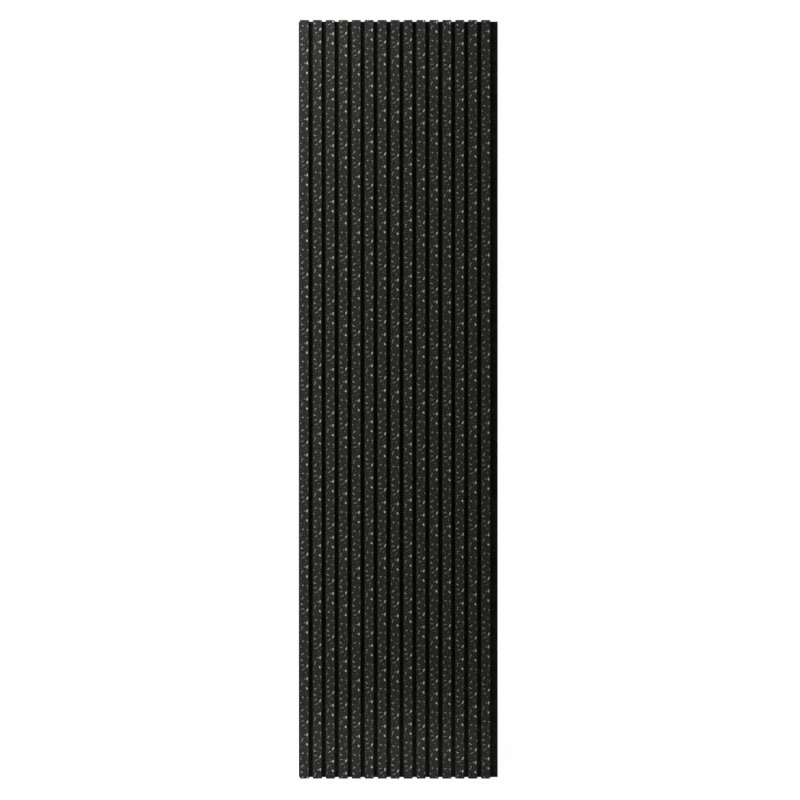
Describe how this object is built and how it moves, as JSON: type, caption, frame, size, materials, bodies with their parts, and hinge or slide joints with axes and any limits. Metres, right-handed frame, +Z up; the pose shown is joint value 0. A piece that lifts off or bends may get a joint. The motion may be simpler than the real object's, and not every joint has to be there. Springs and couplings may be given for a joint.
{
  "type": "acoustic slat wall panel",
  "caption": "Tall wall panel of upright rectangular slats with a speckled charcoal face, set with even gaps on a black felt sheet that shows as a lip at each side.",
  "frame": {"origin": "middle of the felt's flat back face, where the panel lies on the wall", "axes": "+Z up along the slats, +Y into the wall, and the slats face -Y, with the wide felt lip on the +X side"},
  "size_m": [0.632, 0.021, 2.4],
  "materials": {
    "felt": "matt needled polyester felt, black",
    "slat": "fibreboard with a satin charcoal foil face that has a pale stone speckle, and black sides",
    "staple": "galvanised flat wire"
  },
  "bodies": {
    "root": {"felt_backing": "felt", "slat_01": "slat", "slat_02": "slat", "slat_03": "slat", "slat_04": "slat", "slat_05": "slat", "slat_06": "slat", "slat_07": "slat", "slat_08": "slat", "slat_09": "slat", "slat_10": "slat", "slat_11": "slat", "slat_12": "slat", "slat_13": "slat", "slat_14": "slat", "slat_15": "slat", "staples": "staple"}
  },
  "joints": []
}
